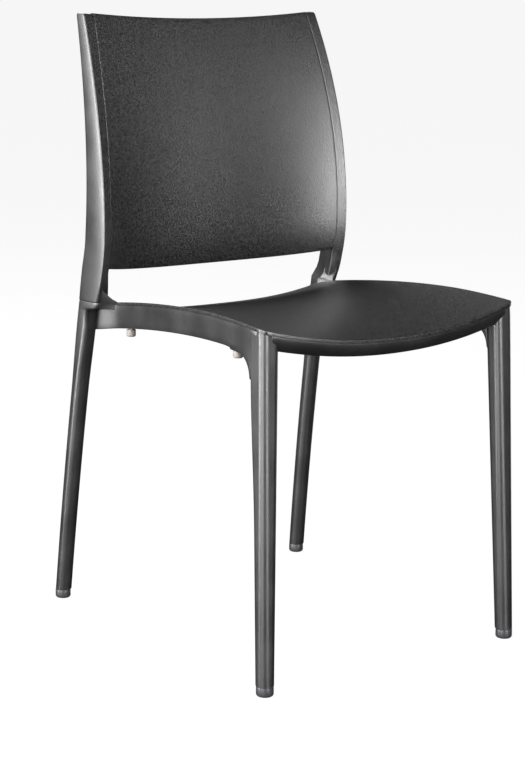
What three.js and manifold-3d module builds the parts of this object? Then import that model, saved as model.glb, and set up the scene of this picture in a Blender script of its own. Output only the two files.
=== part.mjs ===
// Stacking chair: a moulded plastic body with four foot glides and four stacking buffers.
// Millimetres, +Z up, the sitter faces -Y, the origin is on the floor under the middle.
// The body is one moulding. It is built in zones, with a hairline gap where two zones meet.

import * as THREE from 'three';
import { mergeVertices } from 'three/addons/utils/BufferGeometryUtils.js';
import Module from 'manifold-3d';

const wasm = await Module();
wasm.setup();

// ---------------------------------------------------------------- driving dimensions

const GAP = 0.3; // between neighbouring zones and pieces

const OVERALL_HEIGHT = 821; // floor to the top corners of the back
const SEAT_HEIGHT = 464; // highest line of the seat's side edge
const SEAT_FRONT_HALF = 205; // half width of the seat over the front legs
const SEAT_FRONT_Y = -238.5; // middle of the front edge
const SEAT_REAR_Y = 162; // middle of the rear edge

const SEAT_TAPER = 22; // each side comes in this much from the front legs to the rear edge
const SEAT_REAR_HALF = SEAT_FRONT_HALF - SEAT_TAPER;
const SEAT_THICKNESS = 4.5;
const FRONT_BULGE = 12.5; // how far the middle of the front edge stands ahead of its ends
const FRONT_BOW_POWER = 2.8; // 2 is a round bow, more keeps the middle of the front edge flatter
const REAR_BULGE = 3; // how far the middle of the rear edge stands behind its ends
const SEAT_CORNER_RADIUS = 9;
const SEAT_CREST_Y = SEAT_FRONT_Y + 108.5; // the side edge is highest here
const SEAT_REAR_DROP = 29; // fall of the side edge from the crest to the rear edge
const SEAT_DROP_POWER = 1.75; // 2 is an even curve down to the rear edge, 1 a straight fall
const SEAT_FRONT_DROP = 2.5; // fall of the side edge from the crest to the front edge
const REAR_DISH = 17; // depth of the seat's hollow at the rear edge
const FRONT_DISH = 25; // and at the front edge
const REAR_DISH_POWER = 2.8; // more than 2 gives the hollow a flatter floor

const RAIL_HEIGHT = 36; // seat edge to the underside of the side rail
const RAIL_WIDTH = 20;
const RAIL_INSET = 0.8; // the seat's edge stands this far proud of the faces below it
const RAIL_REAR_Y = SEAT_REAR_Y + 27; // the side rail ends beside the rear leg
const RECESS_END_Y = SEAT_REAR_Y + 14; // the rail turns out to the rear leg, and leaves a recess
const RECESS_RADIUS = 8;
const RAIL_FILLET = 27; // radius under the rail, behind the front leg
const FRONT_PAD_LENGTH = 21; // flat pad for the front buffer, behind the fillet
const FRONT_PAD_DROP = 3.6;

const APRON_DROP = 24; // front edge of the seat to the lower edge of the apron
const APRON_SET_BACK = 9; // the apron's lower edge stands this far behind its upper edge
const APRON_WALL = 6;
const REAR_RAIL_WALL = 14;
const REAR_RAIL_HEIGHT = 31; // rear corner of the seat to the underside of the rear rail

const LEG_TOP_RADIUS = 8.5; // corner radius of a leg's section at the top
const FRONT_LEG_TOP_SIDE = 27; // side of the leg's rounded square section
const FRONT_LEG_FOOT_SIDE = 22.5;
const FRONT_LEG_SPLAY = 10; // the foot stands this far outside the leg's top
const FRONT_LEG_RAKE = 25.5; // and this far ahead of it
const FRONT_LEG_TOP_X = SEAT_FRONT_HALF - FRONT_LEG_TOP_SIDE / 2; // flush with the seat's side
const FRONT_LEG_TOP_Y = SEAT_FRONT_Y + 25.5;
const FRONT_FOOT_X = FRONT_LEG_TOP_X + FRONT_LEG_SPLAY;
const FRONT_FOOT_Y = FRONT_LEG_TOP_Y - FRONT_LEG_RAKE;

const KNEE_Z = SEAT_HEIGHT - 27; // the rear leg and the upright meet here
const REAR_LEG_TOP_SIDE = 22;
const REAR_LEG_FOOT_SIDE = 21.5;
const REAR_LEG_SPLAY = 9; // the foot stands this far outside the knee
const REAR_LEG_RAKE = 56.5; // and this far behind it
const REAR_LEG_STRAIGHTNESS = 0.73; // 1 is a straight rear leg, less curves it forward at the top
const SHOULDER_DEPTH = 41.5; // front to back of the rear leg's shoulder at the knee
const SHOULDER_HEIGHT = 10;

const UPRIGHT_STAND_OUT = 27.5; // the uprights' outer faces stand this far outside the seat's rear
const UPRIGHT_OUTER_X = SEAT_REAR_HALF + UPRIGHT_STAND_OUT;
const UPRIGHT_TOP_X = UPRIGHT_OUTER_X - 14; // the uprights lean in to this at the top corners
const LEAN_IN_POWER = 2.2; // the lean in comes mostly near the top
const UPRIGHT_WIDTH = 18;
const UPRIGHT_TOP_DEPTH = 18;
const UPRIGHT_WAIST_DEPTH = 46;
const UPRIGHT_REAR_SHARE = 0.55; // width of the upright's rear face, as a share of its front face
const UPRIGHT_RADIUS = 5;
const WAIST_Z = SEAT_HEIGHT + 66; // the front line of the back is furthest forward here
const WAIST_Y = SEAT_REAR_Y - 31.5;
const TOP_LEAN = 73.5; // from the waist back to the top corner
const TOP_LEAN_POWER = 1.9; // 2 is an even curve, less straightens the upper back
const FOOT_LEAN = 21.5; // from the waist back to the knee
const FOOT_LEAN_POWER = 2.2;
const REAR_LEG_TOP_X = UPRIGHT_OUTER_X - REAR_LEG_TOP_SIDE / 2; // the leg carries the upright on
const REAR_LEG_TOP_Y = SEAT_REAR_Y + 20.5;
const REAR_FOOT_X = REAR_LEG_TOP_X + REAR_LEG_SPLAY;
const REAR_FOOT_Y = REAR_LEG_TOP_Y + REAR_LEG_RAKE;

const BACK_THICKNESS = 5;
const BACK_LOWER_Z = SEAT_HEIGHT + 12; // lower edge of the back panel, in the middle
const BACK_LOWER_RISE = 8; // the lower edge climbs this much to its ends
const TOP_DIP = 8; // the top edge sags this much in the middle
const BACK_TOP_DISH = 8; // depth of the back's hollow at the top
const BACK_LOWER_DISH = 30; // and at the lower edge

const GUSSET_RADIUS = 20; // from the upright's inner face round to the seat
const GUSSET_LENGTH = 24;
const GUSSET_EDGE = 1.5; // thickness where the gusset runs out on the seat

const GLIDE_HEIGHT = 13;
const GLIDE_EDGE_RADIUS = 3;
const SPIGOT_RADIUS = 6;
const SPIGOT_LENGTH = 22;
const SPIGOT_CLEARANCE = 0.3;

const BUFFER_RADIUS = 6.3;
const BUFFER_HEIGHT = 9;
const BUFFER_INBOARD = 7.5; // buffer centre, from the rail's outer face
const BUFFER_EDGE_RADIUS = 2.5;
const STEM_RADIUS = 3;
const STEM_LENGTH = 12;
const STEM_CLEARANCE = 0.3;
const FRONT_BUFFER_Y = FRONT_LEG_TOP_Y + 54; // on the flat pad behind the front leg
const REAR_BUFFER_Y = SEAT_REAR_Y - 52;
const BOSS_RADIUS = 7; // round boss over the rear buffer
const BOSS_DROP = 1; // below the rail at the boss's lowest side

const SECTION_SIDES = 16;
const ROUND_SIDES = 20;

// ---------------------------------------------------------------- materials

const plastic = (color, roughness) => new THREE.MeshStandardMaterial({ color, roughness, metalness: 0 });
const bodyPlastic = () => plastic('#26272a', 0.62);
const glidePlastic = () => plastic('#3a3b3d', 0.5);
const bufferPlastic = () => plastic('#e9e7df', 0.4);

// ---------------------------------------------------------------- curves of the form

const mix = THREE.MathUtils.lerp;
const clamp01 = (t) => THREE.MathUtils.clamp(t, 0, 1);

// Half width of the seat at y: it narrows evenly from the front legs to the rear edge.
function seatHalf(y) {
  const t = (y - FRONT_LEG_TOP_Y) / (SEAT_REAR_Y - FRONT_LEG_TOP_Y);
  return mix(SEAT_FRONT_HALF, SEAT_REAR_HALF, Math.max(t, 0));
}

// Front edge of the seat at x: a bow between the legs, with a round corner at each end.
function seatFrontY(x) {
  const share = Math.abs(x) / SEAT_FRONT_HALF;
  const bow = SEAT_FRONT_Y + FRONT_BULGE * share ** FRONT_BOW_POWER;
  const intoCorner = Math.max(Math.abs(x) - (SEAT_FRONT_HALF - SEAT_CORNER_RADIUS), 0);
  const reach = Math.min(intoCorner, SEAT_CORNER_RADIUS);
  return bow + SEAT_CORNER_RADIUS - Math.sqrt(SEAT_CORNER_RADIUS ** 2 - reach ** 2);
}

function seatRearY(x) {
  return SEAT_REAR_Y - REAR_BULGE * (x / SEAT_REAR_HALF) ** 2;
}

// Height of the seat's side edge at y.
function seatEdgeZ(y) {
  const behind = Math.max(y - SEAT_CREST_Y, 0) / (SEAT_REAR_Y - SEAT_CREST_Y);
  const ahead = Math.max(SEAT_CREST_Y - y, 0) / (SEAT_CREST_Y - FRONT_LEG_TOP_Y);
  return SEAT_HEIGHT - SEAT_REAR_DROP * behind ** SEAT_DROP_POWER - SEAT_FRONT_DROP * ahead ** 2;
}

// Height of the seat's upper face: the side edge less the hollow between the edges.
function seatTopZ(x, y) {
  const toFront = clamp01((SEAT_REAR_Y - y) / (SEAT_REAR_Y - SEAT_FRONT_Y));
  const depth = mix(REAR_DISH, FRONT_DISH, toFront ** 3);
  const share = Math.min(Math.abs(x) / seatHalf(y), 1);
  return seatEdgeZ(y) - depth * (1 - share ** mix(REAR_DISH_POWER, 2, toFront));
}

function seatUnderZ(x, y) {
  return seatTopZ(x, y) - SEAT_THICKNESS;
}

// Outer front line of the back at z, seen from the side.
function backFrontY(z) {
  const above = Math.max(z - WAIST_Z, 0) / (OVERALL_HEIGHT - WAIST_Z);
  const below = Math.max(WAIST_Z - z, 0) / (WAIST_Z - KNEE_Z);
  return WAIST_Y + TOP_LEAN * above ** TOP_LEAN_POWER + FOOT_LEAN * below ** FOOT_LEAN_POWER;
}

// Outer face of the upright at z.
function uprightOuterX(z) {
  const above = Math.max(z - WAIST_Z, 0) / (OVERALL_HEIGHT - WAIST_Z);
  return mix(UPRIGHT_OUTER_X, UPRIGHT_TOP_X, above ** LEAN_IN_POWER);
}

// How far the back's front face is hollowed at (x, z).
function backHollow(x, z) {
  const up = clamp01((z - BACK_LOWER_Z) / (OVERALL_HEIGHT - BACK_LOWER_Z));
  const down = clamp01((z - KNEE_Z) / (BACK_LOWER_Z - KNEE_Z));
  const depth = mix(BACK_LOWER_DISH, BACK_TOP_DISH, up) * down;
  const share = Math.min(Math.abs(x) / uprightOuterX(z), 1);
  return depth * (1 - share ** mix(4, 2, up));
}

// Rear face of the upright at z: it carries on from the rear leg, then tapers to the top.
function uprightRearY(z) {
  const up = clamp01((z - WAIST_Z) / (OVERALL_HEIGHT - WAIST_Z));
  const down = clamp01((WAIST_Z - z) / (WAIST_Z - KNEE_Z));
  const waist = backFrontY(z) + mix(UPRIGHT_WAIST_DEPTH, UPRIGHT_TOP_DEPTH, up);
  const knee = REAR_LEG_TOP_Y + REAR_LEG_TOP_SIDE / 2;
  return mix(waist, mix(WAIST_Y + UPRIGHT_WAIST_DEPTH, knee, down), Math.min(down * 2, 1));
}

// ---------------------------------------------------------------- solids

function solidOf(geometry) {
  geometry.deleteAttribute('normal');
  geometry.deleteAttribute('uv');
  const merged = mergeVertices(geometry, 1e-3);
  return new wasm.Manifold(new wasm.Mesh({
    numProp: 3,
    vertProperties: new Float32Array(merged.attributes.position.array),
    triVerts: new Uint32Array(merged.index.array),
  }));
}

function geometryOf(solid) {
  const mesh = solid.getMesh();
  const geometry = new THREE.BufferGeometry();
  geometry.setAttribute('position', new THREE.BufferAttribute(new Float32Array(mesh.vertProperties), 3));
  geometry.setIndex(new THREE.BufferAttribute(new Uint32Array(mesh.triVerts), 1));
  geometry.computeVertexNormals();
  return geometry;
}

// Moves every corner of a geometry to where place(point) says.
function reshape(geometry, place) {
  const corners = geometry.attributes.position;
  const point = new THREE.Vector3();
  for (let i = 0; i < corners.count; i += 1) {
    point.fromBufferAttribute(corners, i);
    place(point);
    corners.setXYZ(i, point.x, point.y, point.z);
  }
  return geometry;
}

// A unit block with cells along each side, reshaped. place gets each side's share, 0 to 1.
function blockSolid(cells, place) {
  const block = new THREE.BoxGeometry(1, 1, 1, cells[0], cells[1], cells[2]);
  return solidOf(reshape(block, (p) => place(p, p.x + 0.5, p.y + 0.5, p.z + 0.5)));
}

// An upright bar of rounded rectangular section. sectionAt(z) gives its centre, half sizes and
// radius, and detail(offset, z), where there is one, reshapes the section about its centre.
function barSolid(levels, sectionAt, detail = () => {}) {
  const steps = levels.length - 1;
  const bar = new THREE.CylinderGeometry(1, 1, 1, SECTION_SIDES, steps, false, Math.PI / SECTION_SIDES);
  bar.rotateX(Math.PI / 2);
  return solidOf(reshape(bar, (p) => {
    const z = levels[Math.round((p.z + 0.5) * steps)];
    const section = sectionAt(z);
    const offset = new THREE.Vector2(0, 0);
    if (Math.hypot(p.x, p.y) > 0.5) {
      offset.x = p.x * section.radius + Math.sign(p.x) * (section.halfX - section.radius);
      offset.y = p.y * section.radius + Math.sign(p.y) * (section.halfY - section.radius);
      detail(offset, section, z);
    }
    p.set(section.x + offset.x, section.y + offset.y, z);
  }));
}

function levelsBetween(bottom, top, steps) {
  return Array.from({ length: steps + 1 }, (unused, i) => mix(bottom, top, i / steps));
}

function lathedSolid(profile) {
  const turned = new THREE.LatheGeometry(profile, ROUND_SIDES);
  turned.rotateX(Math.PI / 2);
  return solidOf(turned);
}

function cylinderSolid(radius, bottom, top, x, y) {
  const cylinder = new THREE.CylinderGeometry(radius, radius, top - bottom, ROUND_SIDES);
  cylinder.rotateX(Math.PI / 2);
  cylinder.translate(x, y, (bottom + top) / 2);
  return solidOf(cylinder);
}

// ---------------------------------------------------------------- legs and uprights (right side)

function frontLegSection(z, grow) {
  const up = z / (SEAT_HEIGHT - RAIL_HEIGHT);
  const half = mix(FRONT_LEG_FOOT_SIDE, FRONT_LEG_TOP_SIDE, Math.min(up, 1)) / 2;
  return {
    x: mix(FRONT_FOOT_X, FRONT_LEG_TOP_X, up),
    y: mix(FRONT_FOOT_Y, FRONT_LEG_TOP_Y, up),
    halfX: half + grow,
    halfY: half + grow,
    radius: mix(FRONT_LEG_FOOT_SIDE / 2 - 1, LEG_TOP_RADIUS, Math.min(up, 1)) + grow,
  };
}

function rearLegSection(z, grow) {
  const up = z / KNEE_Z;
  const rise = REAR_LEG_STRAIGHTNESS * up + (1 - REAR_LEG_STRAIGHTNESS) * up ** 2;
  const half = mix(REAR_LEG_FOOT_SIDE, REAR_LEG_TOP_SIDE, up) / 2;
  const shoulder = clamp01((z - (KNEE_Z - SHOULDER_HEIGHT)) / (SHOULDER_HEIGHT / 2));
  const extra = (SHOULDER_DEPTH / 2 - half) * shoulder;
  return {
    x: mix(REAR_FOOT_X, REAR_LEG_TOP_X, up),
    y: mix(REAR_FOOT_Y, REAR_LEG_TOP_Y, rise) - extra,
    halfX: half + grow,
    halfY: half + extra + grow,
    radius: mix(REAR_LEG_FOOT_SIDE / 2 - 1, LEG_TOP_RADIUS, up) + grow,
  };
}

function uprightSection(z) {
  const foot = clamp01((WAIST_Z - z) / (WAIST_Z - KNEE_Z));
  const width = mix(UPRIGHT_WIDTH, REAR_LEG_TOP_SIDE, foot ** 2);
  const front = backFrontY(z);
  const rear = uprightRearY(z);
  return {
    x: uprightOuterX(z) - width / 2,
    y: (front + rear) / 2,
    halfX: width / 2,
    halfY: (rear - front) / 2,
    radius: UPRIGHT_RADIUS,
  };
}

function frontLegBar(grow) {
  return barSolid(levelsBetween(GLIDE_HEIGHT + GAP, SEAT_HEIGHT, 5), (z) => frontLegSection(z, grow));
}

function rearLegBar(grow) {
  const shoulder = KNEE_Z - SHOULDER_HEIGHT;
  const levels = levelsBetween(GLIDE_HEIGHT + GAP, shoulder, 10);
  levels.push(shoulder + SHOULDER_HEIGHT / 2, KNEE_Z);
  return barSolid(levels, (z) => rearLegSection(z, grow));
}

// The upright's front follows the hollow of the back, and its rear is narrower than its front.
function uprightBar() {
  const levels = levelsBetween(KNEE_Z + GAP, OVERALL_HEIGHT, 18);
  return barSolid(levels, (z) => uprightSection(z), (offset, section, z) => {
    const rear = clamp01((offset.y + section.halfY) / (2 * section.halfY));
    const narrowed = mix(1, UPRIGHT_REAR_SHARE, rear * clamp01((z - KNEE_Z) / UPRIGHT_WIDTH));
    offset.x = section.halfX - (section.halfX - offset.x) * narrowed;
    offset.y += offset.y < 0 ? backHollow(section.x + offset.x, z) : 0;
  });
}

// Socket in the foot of a leg for the glide's spigot.
function footSocket(footX, footY) {
  const top = GLIDE_HEIGHT + SPIGOT_LENGTH + GAP;
  return cylinderSolid(SPIGOT_RADIUS + SPIGOT_CLEARANCE, 0, top, footX, footY);
}

// The leg ends under the seat shell, which covers it.
function frontLeg() {
  const seatAndAbove = seatSlab(LEG_TOP_RADIUS, SEAT_THICKNESS + GAP, SEAT_THICKNESS * 4);
  return frontLegBar(0).subtract(seatAndAbove).subtract(footSocket(FRONT_FOOT_X, FRONT_FOOT_Y));
}

function rearLeg() {
  return rearLegBar(0).subtract(footSocket(REAR_FOOT_X, REAR_FOOT_Y));
}

// The upright's top follows the sag of the back's top edge.
function upright() {
  const above = blockSolid([8, 1, 1], (p, across, deep, high) => {
    const x = mix(0, UPRIGHT_OUTER_X + UPRIGHT_WIDTH, across);
    const y = mix(0, REAR_FOOT_Y + UPRIGHT_WAIST_DEPTH, deep);
    p.set(x, y, mix(backTopZ(x), OVERALL_HEIGHT + TOP_DIP, high));
  });
  return uprightBar().subtract(above);
}

// ---------------------------------------------------------------- seat, rails and apron

// A slab that follows the seat, from under to over its upper face, margin wider all round.
function seatSlab(margin, under, over) {
  return blockSolid([22, 16, 1], (p, across, along, high) => {
    const side = Math.sin((across - 0.5) * Math.PI);
    const front = seatFrontY(side * SEAT_FRONT_HALF) - margin;
    const rear = seatRearY(side * SEAT_REAR_HALF) + margin;
    const y = mix(front, rear, along);
    const x = side * (seatHalf(y) + margin);
    p.set(x, y, seatTopZ(x, y) + mix(-under, over, high));
  });
}

const seatPanel = () => seatSlab(0, SEAT_THICKNESS, 0);

// Underside of the side rail at y, with the buffer pad and the fillet behind the front leg.
function railUnderZ(y) {
  const legRear = FRONT_LEG_TOP_Y + FRONT_LEG_TOP_SIDE / 2;
  const level = seatEdgeZ(y) - RAIL_HEIGHT;
  const padEnd = legRear + RAIL_FILLET + FRONT_PAD_LENGTH;
  const pad = y < padEnd ? FRONT_PAD_DROP : 0;
  const intoFillet = THREE.MathUtils.clamp(legRear + RAIL_FILLET - y, 0, RAIL_FILLET);
  return level - pad - (RAIL_FILLET - Math.sqrt(RAIL_FILLET ** 2 - intoFillet ** 2));
}

// Where the rail is sampled along its length: close together at the pad's step and the fillet.
function railStations() {
  const legRear = FRONT_LEG_TOP_Y + FRONT_LEG_TOP_SIDE / 2;
  const stations = [FRONT_LEG_TOP_Y, legRear];
  for (let step = 5; step >= 0; step -= 1) {
    stations.push(legRear + RAIL_FILLET * (1 - Math.sin((step / 6) * (Math.PI / 2))));
  }
  const padEnd = legRear + RAIL_FILLET + FRONT_PAD_LENGTH;
  stations.push(padEnd - 0.1, padEnd + 0.1);
  for (let step = 1; step <= 12; step += 1) {
    stations.push(mix(padEnd, RECESS_END_Y, step / 12));
  }
  stations.push(RECESS_END_Y + RECESS_RADIUS, RAIL_REAR_Y);
  return stations;
}

// Outer face of the side rail at y: under the seat's edge, then out to the rear leg.
function railOuterX(y) {
  const flare = clamp01((y - RECESS_END_Y) / RECESS_RADIUS);
  return mix(seatHalf(y) - RAIL_INSET, REAR_LEG_TOP_X, flare);
}

function bufferX(y) {
  return seatHalf(y) - RAIL_INSET - BUFFER_INBOARD;
}

// Level of the face a buffer's head meets.
function bufferSeatZ(y) {
  if (y < 0) {
    return railUnderZ(y);
  }
  return railUnderZ(y + BOSS_RADIUS) - BOSS_DROP;
}

function stemHole(y) {
  const bottom = bufferSeatZ(y) - GAP;
  const radius = STEM_RADIUS + STEM_CLEARANCE;
  return cylinderSolid(radius, bottom, bottom + GAP + STEM_LENGTH + GAP, bufferX(y), y);
}

function sideRail() {
  const stations = railStations();
  const bar = blockSolid([1, stations.length - 1, 1], (p, across, along, high) => {
    const y = stations[Math.round(along * (stations.length - 1))];
    const outer = railOuterX(y);
    const x = mix(seatHalf(y) - RAIL_INSET - RAIL_WIDTH, outer, across);
    p.set(x, y, mix(railUnderZ(y), seatUnderZ(x, y) - GAP, high));
  });
  const bossTop = railUnderZ(REAR_BUFFER_Y) + RAIL_HEIGHT / 2;
  const boss = cylinderSolid(
    BOSS_RADIUS, bufferSeatZ(REAR_BUFFER_Y), bossTop, bufferX(REAR_BUFFER_Y), REAR_BUFFER_Y,
  );
  return bar.add(boss)
    .subtract(stemHole(FRONT_BUFFER_Y))
    .subtract(stemHole(REAR_BUFFER_Y))
    .subtract(frontLegBar(GAP))
    .subtract(rearLegBar(GAP));
}

// The apron hangs from the seat's front edge and curves back under it, from leg to leg.
function frontApron() {
  const apron = blockSolid([20, 1, 4], (p, across, deep, high) => {
    const x = mix(-FRONT_LEG_TOP_X, FRONT_LEG_TOP_X, across);
    const below = 1 - high;
    const y = seatFrontY(x) + RAIL_INSET + APRON_SET_BACK * below ** 2 + APRON_WALL * deep;
    p.set(x, y, seatUnderZ(x, y) - GAP - (APRON_DROP - SEAT_THICKNESS) * below);
  });
  const leg = frontLegBar(GAP);
  return apron.subtract(leg).subtract(leg.mirror([1, 0, 0]));
}

// The rear rail joins the side rails under the seat's rear edge.
function rearRail() {
  return blockSolid([16, 1, 1], (p, across, deep, high) => {
    const rear = SEAT_REAR_Y - REAR_BULGE - RAIL_INSET;
    const y = mix(rear - REAR_RAIL_WALL, rear, deep);
    const half = seatHalf(y) - RAIL_INSET - RAIL_WIDTH - GAP;
    const x = mix(-half, half, across);
    const bottom = seatEdgeZ(SEAT_REAR_Y) - REAR_RAIL_HEIGHT;
    p.set(x, y, mix(bottom, seatUnderZ(x, y) - GAP, high));
  });
}

// The gusset fills the corner between the upright's inner face and the seat with a hollow curve.
function gusset() {
  const inner = uprightOuterX(KNEE_Z) - REAR_LEG_TOP_SIDE - GAP;
  const rear = SEAT_REAR_Y - REAR_BULGE;
  return blockSolid([8, 3, 1], (p, across, along, high) => {
    const x = mix(inner - GUSSET_RADIUS, inner, across);
    const y = mix(rear - GUSSET_LENGTH, rear, along);
    const floor = seatTopZ(Math.min(x, seatHalf(y)), y) + GAP * 2;
    const rise = GUSSET_RADIUS * (1 - Math.sqrt(1 - across ** 2)) + GUSSET_EDGE;
    p.set(x, y, floor + rise * high);
  });
}

// ---------------------------------------------------------------- back panel

function backTopZ(x) {
  const share = Math.min(Math.abs(x) / UPRIGHT_TOP_X, 1);
  return OVERALL_HEIGHT - TOP_DIP * (1 - share ** 2);
}

// The hollowed panel between the uprights, flush with their front faces.
function backPanel() {
  return blockSolid([16, 1, 14], (p, across, deep, high) => {
    const side = Math.sin((across - 0.5) * Math.PI);
    const z = mix(BACK_LOWER_Z + BACK_LOWER_RISE * side ** 4, backTopZ(side * UPRIGHT_TOP_X), high);
    const foot = clamp01((WAIST_Z - z) / (WAIST_Z - KNEE_Z));
    const width = mix(UPRIGHT_WIDTH, REAR_LEG_TOP_SIDE, foot ** 2);
    const x = side * (uprightOuterX(z) - width - GAP);
    p.set(x, backFrontY(z) + backHollow(x, z) + BACK_THICKNESS * deep, z);
  });
}

// ---------------------------------------------------------------- glides and buffers

// A quarter round from the side of a turned piece to its flat lower face.
function lowerEdge(radius, edgeRadius) {
  const points = [];
  for (let step = 0; step <= 3; step += 1) {
    const angle = (step / 3) * (Math.PI / 2);
    const r = radius - edgeRadius + edgeRadius * Math.sin(angle);
    points.push(new THREE.Vector2(r, edgeRadius - edgeRadius * Math.cos(angle)));
  }
  return points;
}

// Foot glide: a round shoe with a spigot that plugs into the leg.
function glide(footSide) {
  const radius = footSide / 2;
  return lathedSolid([
    new THREE.Vector2(0, 0),
    ...lowerEdge(radius, GLIDE_EDGE_RADIUS),
    new THREE.Vector2(radius, GLIDE_HEIGHT),
    new THREE.Vector2(SPIGOT_RADIUS, GLIDE_HEIGHT),
    new THREE.Vector2(SPIGOT_RADIUS, GLIDE_HEIGHT + SPIGOT_LENGTH),
    new THREE.Vector2(0, GLIDE_HEIGHT + SPIGOT_LENGTH),
  ]);
}

// Stacking buffer: a soft round head under the rail, with a stem pressed into the rail.
function buffer() {
  return lathedSolid([
    new THREE.Vector2(0, 0),
    ...lowerEdge(BUFFER_RADIUS, BUFFER_EDGE_RADIUS),
    new THREE.Vector2(BUFFER_RADIUS, BUFFER_HEIGHT),
    new THREE.Vector2(STEM_RADIUS, BUFFER_HEIGHT),
    new THREE.Vector2(STEM_RADIUS, BUFFER_HEIGHT + STEM_LENGTH),
    new THREE.Vector2(0, BUFFER_HEIGHT + STEM_LENGTH),
  ]);
}

// ---------------------------------------------------------------- the chair

const chair = new THREE.Group();

function addPiece(name, solid, material) {
  const piece = new THREE.Mesh(geometryOf(solid), material);
  piece.name = name;
  chair.add(piece);
  return piece;
}

function addMirroredPair(name, solid, material) {
  addPiece(`right_${name}`, solid, material());
  addPiece(`left_${name}`, solid.mirror([1, 0, 0]), material());
}

// Glides and buffers: the same turned piece at the same place on each side.
function addTurnedPair(name, solid, material, x, y, z) {
  addPiece(`right_${name}`, solid, material()).position.set(x, y, z);
  addPiece(`left_${name}`, solid, material()).position.set(-x, y, z);
}

addPiece('seat_panel', seatPanel(), bodyPlastic());
addPiece('back_panel', backPanel(), bodyPlastic());
addPiece('front_apron', frontApron(), bodyPlastic());
addPiece('rear_rail', rearRail(), bodyPlastic());
addMirroredPair('side_rail', sideRail(), bodyPlastic);
addMirroredPair('front_leg', frontLeg(), bodyPlastic);
addMirroredPair('rear_leg', rearLeg(), bodyPlastic);
addMirroredPair('upright', upright(), bodyPlastic);
addMirroredPair('gusset', gusset(), bodyPlastic);
addTurnedPair('front_glide', glide(FRONT_LEG_FOOT_SIDE), glidePlastic, FRONT_FOOT_X, FRONT_FOOT_Y, 0);
addTurnedPair('rear_glide', glide(REAR_LEG_FOOT_SIDE), glidePlastic, REAR_FOOT_X, REAR_FOOT_Y, 0);
for (const [name, y] of [['front_buffer', FRONT_BUFFER_Y], ['rear_buffer', REAR_BUFFER_Y]]) {
  addTurnedPair(name, buffer(), bufferPlastic, bufferX(y), y, bufferSeatZ(y) - GAP - BUFFER_HEIGHT);
}

export default chair;
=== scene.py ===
"""Stacking chair, moulded in one piece of charcoal polypropylene, with foot glides and buffers.

Sizes in this file are millimetres; a mesh is turned to metres as its last step.
The sitter faces -Y, +Z is up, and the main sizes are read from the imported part. The right-hand
pieces are built on the +X side and mirrored.
"""

import math

import bpy
from mathutils import Matrix, Vector


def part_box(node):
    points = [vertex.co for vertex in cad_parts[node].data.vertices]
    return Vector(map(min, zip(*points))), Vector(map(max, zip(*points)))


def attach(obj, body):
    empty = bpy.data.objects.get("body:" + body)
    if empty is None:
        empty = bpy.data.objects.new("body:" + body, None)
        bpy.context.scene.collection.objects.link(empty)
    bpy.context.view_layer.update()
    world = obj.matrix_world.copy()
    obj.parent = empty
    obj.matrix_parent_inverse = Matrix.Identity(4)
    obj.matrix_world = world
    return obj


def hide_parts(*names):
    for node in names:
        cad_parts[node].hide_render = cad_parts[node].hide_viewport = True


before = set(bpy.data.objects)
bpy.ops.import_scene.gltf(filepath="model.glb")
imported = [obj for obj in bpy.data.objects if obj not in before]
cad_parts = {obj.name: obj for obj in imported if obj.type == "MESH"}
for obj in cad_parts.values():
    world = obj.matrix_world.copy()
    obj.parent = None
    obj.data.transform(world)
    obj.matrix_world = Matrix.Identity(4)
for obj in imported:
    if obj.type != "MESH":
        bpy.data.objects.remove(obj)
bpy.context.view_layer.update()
MM = 0.001


def extent(node):
    """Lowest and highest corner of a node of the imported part, in millimetres."""
    low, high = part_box(node)
    return Vector(low) / MM, Vector(high) / MM


# ---------------------------------------------------------------- sizes read from the part

seat_low, seat_high = extent("seat_panel")
upright_high = extent("right_upright")[1]
rear_leg_high = extent("right_rear_leg")[1]
front_glide_low, front_glide_high = extent("right_front_glide")
rear_glide_low, rear_glide_high = extent("right_rear_glide")

SEAT_FRONT_Y, SEAT_REAR_Y = seat_low.y, seat_high.y
SEAT_FRONT_HALF = seat_high.x
SEAT_HEIGHT = seat_high.z
OVERALL_HEIGHT = upright_high.z
KNEE_Z = rear_leg_high.z
FRONT_FOOT = (front_glide_low + front_glide_high) / 2
REAR_FOOT = (rear_glide_low + rear_glide_high) / 2
UPRIGHT_OUTER_X = upright_high.x

# ---------------------------------------------------------------- the form, as the part has it

SEAT_REAR_HALF = SEAT_FRONT_HALF - 22
SEAT_THICKNESS = 4.5
FRONT_BULGE = 12.5
REAR_BULGE = 3
SEAT_CORNER = 9
SEAT_CREST_Y = SEAT_FRONT_Y + 108.5
SEAT_REAR_DROP, SEAT_FRONT_DROP = 29, 2.5
REAR_DISH, FRONT_DISH = 17, 25
RAIL_HEIGHT, RAIL_WIDTH, RAIL_INSET = 36, 20, 0.8
RIM_PROUD = 0.45
RAIL_FILLET, PAD_LENGTH, PAD_DROP = 27, 21, 3.6
APRON_DROP, APRON_SET_BACK, APRON_WALL = 24, 9, 6
REAR_RAIL_WALL, REAR_RAIL_HEIGHT = 14, 31
FRONT_LEG_SIDE, FRONT_FOOT_SIDE = 27, 22.5
REAR_LEG_SIDE, REAR_FOOT_SIDE = 22, 21.5
LEG_CORNER = 8.5
FRONT_LEG_TOP = Vector((SEAT_FRONT_HALF - FRONT_LEG_SIDE / 2, SEAT_FRONT_Y + 25.5, 0))
REAR_LEG_TOP = Vector((UPRIGHT_OUTER_X - REAR_LEG_SIDE / 2, SEAT_REAR_Y + 20.5, 0))
REAR_LEG_STRAIGHTNESS = 0.73
SHOULDER_DEPTH, SHOULDER_HEIGHT = 41.5, 10
UPRIGHT_TOP_X = UPRIGHT_OUTER_X - 14
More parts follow.
